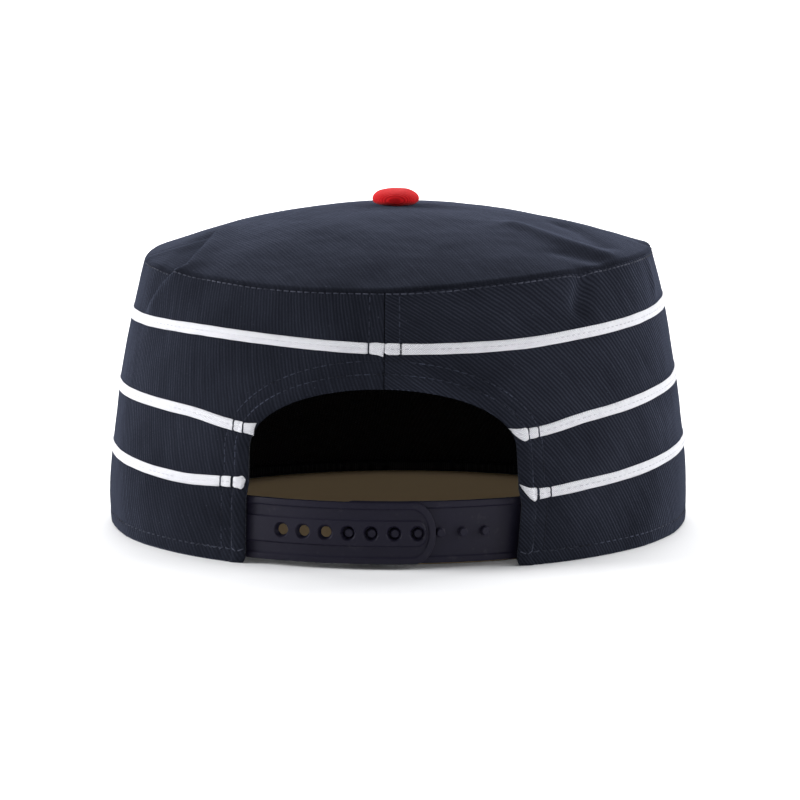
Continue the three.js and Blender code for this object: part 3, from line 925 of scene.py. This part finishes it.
def worn_place(side):
    """Places down the first row of a flap's hem, where its thread is worn pale."""
    def place(distance):
        height = WORN_HEM["top"] - distance
        turn = opening_turn(opening_half(side, height) + HEM_ROWS[0], height, side)
        return wall_point(turn, height), wall_outward(turn)

    return WORN_HEM["length"], place


def loose_place(side):
    """Places along the rim next to a flap, where its thread is slack and wanders."""
    length, rim = rim_place(side)

    def place(distance):
        point, _ = rim(distance)
        turn = math.atan2(point.x, CROWN_Y - point.y)
        swing = LOOSE_RIM["swing"] * math.sin(distance * 1.9)
        wander = LOOSE_RIM["wander"] * noise.noise((distance / 2, side, 0))
        return wall_point(turn, RIM_ROW + swing + wander), wall_outward(turn)

    return min(LOOSE_RIM["length"], length), place


def seam_stitches():
    bm = bmesh.new()
    sew(bm, 2 * math.pi * (HALF_WIDTH - CROWN["taper"]), top_seam_place)
    finish_stitches(bm, "seam_stitches", PALE_THREAD)


def worn_stitches():
    bm = bmesh.new()
    for side in (-1, 1):
        sew(bm, *worn_place(side), width=FINE_STITCH)
        sew(bm, *loose_place(side), width=FINE_STITCH)
    finish_stitches(bm, "worn_stitches", PALE_THREAD)


def hem_stitches():
    bm = bmesh.new()
    for side in (-1, 1):
        for row_inset in HEM_ROWS:
            sew(bm, *hem_place(side, row_inset), width=FINE_STITCH)
        sew(bm, *rim_place(side), pitch=2.8)
        sew(bm, *back_seam_place(side))
    finish_stitches(bm, "hem_stitches", NAVY_THREAD)


def braid_stitches():
    """The fine grey stitches along the middle of each row."""
    middle_share = BRAID["top_share"] / 2
    width, height = BRAID_STITCHES["width"], BRAID_STITCHES["height"]
    bm = bmesh.new()
    for row in BRAID_ROWS:
        length = row_length(row)
        sewn = length - 2 * BRAID_STITCHES["from_end"]
        for index in range(int(sewn / BRAID_STITCHES["pitch"])):
            near = BRAID_STITCHES["from_end"] + index * BRAID_STITCHES["pitch"]
            ends = (near, near + BRAID_STITCHES["length"])
            start, end = (
                braid_place(row, distance, length, middle_share, swell=-BRAID_STITCHES["sunk"])
                for distance in ends
            )
            turn = math.atan2(start.x, CROWN_Y - start.y)
            add_stitch(bm, start, end, wall_outward(turn), width, height)
    finish_stitches(bm, "braid_stitches", GREY_THREAD)


def peak_stitches():
    bm = bmesh.new()
    for row in range(PEAK["rows"]):
        inset = PEAK["first_row"] + row * PEAK["row_step"]
        for index in range(PEAK_STITCHES["count"]):
            share = (index + 0.5) / PEAK_STITCHES["count"]
            across = lerp(-PEAK_STITCHES["span"], PEAK_STITCHES["span"], share)
            ends = []
            for shift in (-PEAK_STITCHES["half_length"], PEAK_STITCHES["half_length"]):
                depth = (peak_point(across + shift, 1) - peak_point(across + shift, 0)).length
                if depth > inset + PEAK_STITCHES["from_root"]:
                    ends.append(peak_point(across + shift, 1 - inset / depth))
            if len(ends) == 2:
                add_stitch(bm, *ends, Vector((0, 0, 1)), STITCH["width"], STITCH["height"])
    finish_stitches(bm, "peak_stitches", DARK_THREAD)


# Strap

STRAP_LEAN = 0.02  # across the border's top and the floor, so that no two loops lie at one level


def stadium(bm, left, right, half_height, level, sides=64):
    """A closed loop round a band with rounded ends, at a level above the strap's inner face."""
    made = bmesh.ops.create_circle(bm, segments=sides, radius=half_height)["verts"]
    end = half_height * STRAP["tip_share"]
    for vertex in made:
        centre = right - end if vertex.co.x > 0 else left + end
        vertex.co.x *= STRAP["tip_share"]
        vertex.co += Vector((centre, 0, level))
    return loop_edges(made)


def ring(bm, place, radius, level, sides=28):
    made = bmesh.ops.create_circle(bm, segments=sides, radius=radius)["verts"]
    bmesh.ops.translate(bm, vec=(place, 0, level), verts=made)
    return loop_edges(made)


def loop_edges(verts):
    return list({edge for vertex in verts for edge in vertex.link_edges})


def bridge_all(bm, loops):
    for first, second in zip(loops, loops[1:]):
        bmesh.ops.bridge_loops(bm, edges=first + second)


def fill(bm, *loops):
    edges = [edge for loop in loops for edge in loop]
    bmesh.ops.triangle_fill(bm, use_beauty=True, use_dissolve=False, edges=edges, normal=(0, 0, 1))


def bend_strap(bm, left, right, outer_inset):
    """Slices a flat strap across, so that it bends evenly, and lays it round the inside of the rim."""
    slice_step = 1.5
    for index in range(1, int((right - left) / slice_step)):
        everything = bm.verts[:] + bm.edges[:] + bm.faces[:]
        place = (left + index * slice_step, 0, 0)
        bmesh.ops.bisect_plane(bm, geom=everything, plane_co=place, plane_no=(1, 0, 0))
    middle = (STRAP_BOTTOM + STRAP_TOP) / 2
    for vertex in bm.verts:
        height = middle + vertex.co.y
        turn = vertex.co.x / (HALF_WIDTH - STRAP["inset"])
        depth = outer_inset + STRAP["thickness"] - vertex.co.z
        vertex.co = oval_point(turn, wall_inset(height) + depth, height)
    bmesh.ops.recalc_face_normals(bm, faces=bm.faces)


def strap_outline(bm, left, right):
    """The strap's edge and raised border: loops from the inner face round to the floor inside the border."""
    half = (STRAP_TOP - STRAP_BOTTOM) / 2
    top = STRAP["thickness"]
    floor = top - STRAP["relief"]
    soft = STRAP["round"]
    border = STRAP["border"]
    steps = [
        (soft, 0), (0, soft), (0, top - soft), (soft * 0.3, top - soft * 0.3), (soft, top - STRAP_LEAN),
        (border - soft, top), (border, top - soft), (border + soft, floor),
    ]
    return [stadium(bm, left + inset, right - inset, half - inset, level) for inset, level in steps]


def strap_holes():
    """The half with holes. A raised band along its middle holds them."""
    bm = bmesh.new()
    left, right = STRAP_PLACES["holes_root"], STRAP_PLACES["holes_tip"]
    top = STRAP["thickness"]
    floor = top - STRAP["relief"]
    soft = STRAP["round"]
    half = STRAP["spine"] / 2
    spine_left, spine_right = STRAP_PLACES["spine_root"], STRAP_PLACES["spine_tip"]
    outline = strap_outline(bm, left, right)
    spine_steps = [(-soft, floor + STRAP_LEAN), (0, top - soft), (soft, top)]
    spine = [stadium(bm, spine_left + i, spine_right - i, half - i, level) for i, level in spine_steps]
    holes = []
    for index in range(STRAP["count"]):
        place = STRAP_PLACES["first_hole"] + index * STRAP["pitch"]
        radius = STRAP["hole_radius"]
        back = STRAP["hole_back"]
        steps = [(radius + soft, top), (radius, top - soft), (back, soft), (back, 0)]
        holes.append([ring(bm, place, hole_radius, level) for hole_radius, level in steps])
    bridge_all(bm, outline + spine)
    for hole in holes:
        bridge_all(bm, hole)
    fill(bm, spine[-1], *(hole[0] for hole in holes))
    fill(bm, outline[0], *(hole[-1] for hole in holes))
    bend_strap(bm, left, right, STRAP["inset"])
    finish(bm, "strap_holes", (PLASTIC,), "strap_holes", sharp=35)


def strap_pegs():
    """The half with pegs, which stand in the holes of the other half."""
    bm = bmesh.new()
    left, right = STRAP_PLACES["pegs_tip"], STRAP_PLACES["pegs_root"]
    top = STRAP["thickness"]
    floor = top - STRAP["relief"]
    soft = STRAP["round"]
    peg_top = 2 * top + GAP - STRAP["peg_shortfall"]
    outline = strap_outline(bm, left, right)
    pegs = []
    for index in range(STRAP["count"]):
        place = STRAP_PLACES["first_peg"] + index * STRAP["pitch"]
        radius = STRAP["peg_radius"]
        steps = [(soft, floor), (0, floor + soft), (0, peg_top - soft), (-soft, peg_top)]
        pegs.append([ring(bm, place, radius + widen, level) for widen, level in steps])
    bridge_all(bm, outline)
    for peg in pegs:
        bridge_all(bm, peg)
        fill(bm, peg[-1])
    fill(bm, outline[-1], *(peg[0] for peg in pegs))
    fill(bm, outline[0])
    bend_strap(bm, left, right, STRAP["inset"] + STRAP["thickness"] + GAP)
    finish(bm, "strap_pegs", (PLASTIC,), "strap_pegs", sharp=35)


# Stage

TABLE = {"back_inset": 12.5, "front_clearance": 0.2, "level": 0.15}

# The lights round the cap: name, place and width in metres, and watts
LIGHTS = (
    ("back", (0, 1.5, 1.7), 1.2, 32),
    ("back_left", (-1.2, 1.4, 1.2), 1.2, 21),
    ("back_right", (1.2, 1.4, 1.2), 1.2, 30),
    ("left", (-1.9, -0.1, 0.7), 1.2, 47),
    ("right", (1.9, -0.1, 0.7), 1.2, 23),
    ("front_right", (1.5, -1.9, 0.4), 1.4, 7),
)


def stage_plane(name, colour, roughness, shape):
    """A flat piece of the stage. shape is the function that makes its outline in a bmesh."""
    bm = bmesh.new()
    shape(bm)
    mesh = bpy.data.meshes.new(name)
    bm.to_mesh(mesh)
    bm.free()
    material, tree, shader = new_material(name, {"Roughness": roughness, "Specular IOR Level": 0.0})
    place = node(tree, "ShaderNodeTexCoord").outputs["Object"]
    shade = [channel * 0.97 for channel in colour[:3]] + [1]
    tone = mixed(tree, noise_at(tree, place, 3.0), shade, colour)
    tree.links.new(tone, shader.inputs["Base Color"])
    mesh.materials.append(material)
    plane = bpy.data.objects.new(name, mesh)
    bpy.context.scene.collection.objects.link(plane)


def floor_shape(bm):
    bmesh.ops.create_grid(bm, x_segments=1, y_segments=1, size=6)


def table_shape(bm):
    """The tan surface inside the rim, which shows through the opening."""
    bmesh.ops.create_circle(bm, cap_ends=True, segments=96, radius=1)
    for vertex in bm.verts:
        turn = math.atan2(vertex.co.x, -vertex.co.y)
        front_inset = PEAK["tuck"] + TABLE["front_clearance"]
        inset = lerp(TABLE["back_inset"], front_inset, smoothstep(0.5, -0.2, math.cos(turn)))
        vertex.co = oval_point(turn, inset, TABLE["level"]) * MM


def area_light(name, place, size, power, aim=(0, CROWN_Y * MM, 0.04), spread=180):
    """A round soft light at a place, turned to the point it is aimed at."""
    light = bpy.data.lights.new(name, "AREA")
    light.shape = "DISK"
    light.size = size
    light.energy = power
    light.spread = math.radians(spread)
    lamp = bpy.data.objects.new(name, light)
    lamp.location = place
    direction = Vector(aim) - Vector(place)
    lamp.rotation_euler = direction.to_track_quat("-Z", "Y").to_euler()
    bpy.context.scene.collection.objects.link(lamp)


def studio():
    stage_plane("floor", (0.9, 0.9, 0.91, 1), 0.9, floor_shape)
    stage_plane("table_inside", (0.5, 0.37, 0.22, 1), 0.6, table_shape)
    world = bpy.data.worlds.new("studio")
    world.use_nodes = True
    world.node_tree.nodes["Background"].inputs["Color"].default_value = (0.96, 0.98, 1, 1)
    world.node_tree.nodes["Background"].inputs["Strength"].default_value = 0.4
    bpy.context.scene.world = world
    for light in LIGHTS:
        area_light(*light)
    inside = Vector((0, CROWN_Y * MM + 0.02, 0.06))
    area_light("inside", inside, 0.144, 0.005, inside - Vector((0, 0, 1)), 20)
    bpy.context.scene.view_settings.view_transform = "Standard"


def camera():
    """The photograph's view: from behind, a little to the right and above."""
    azimuth, elevation = math.radians(2.6), math.radians(8.27)
    away, focal_pixels, image_pixels = 2.2, 6950, 800
    right = Vector((math.cos(azimuth), math.sin(azimuth), 0))
    forward = Vector((
        -math.sin(azimuth) * math.cos(elevation),
        math.cos(azimuth) * math.cos(elevation),
        -math.sin(elevation),
    ))
    target = Vector((0, CROWN_Y * MM, 0.0377)) + right * 0.0005
    data = bpy.data.cameras.new("camera")
    data.sensor_width = 36
    data.lens = focal_pixels / image_pixels * data.sensor_width
    data.clip_end = 20
    view = bpy.data.objects.new("camera", data)
    view.location = target - forward * away
    view.rotation_euler = forward.to_track_quat("-Z", "Y").to_euler()
    bpy.context.scene.collection.objects.link(view)
    bpy.context.scene.camera = view


side_panel("side_panel_left", -1, TWILL_LEFT)
side_panel("side_panel_right", 1, TWILL_RIGHT)
crown_top()
top_button()
peak()
for braid_row in BRAID_ROWS:
    braid(braid_row)
braid_ties()
seam_stitches()
hem_stitches()
worn_stitches()
braid_stitches()
peak_stitches()
strap_holes()
strap_pegs()
studio()
camera()

bpy.context.view_layer.update()
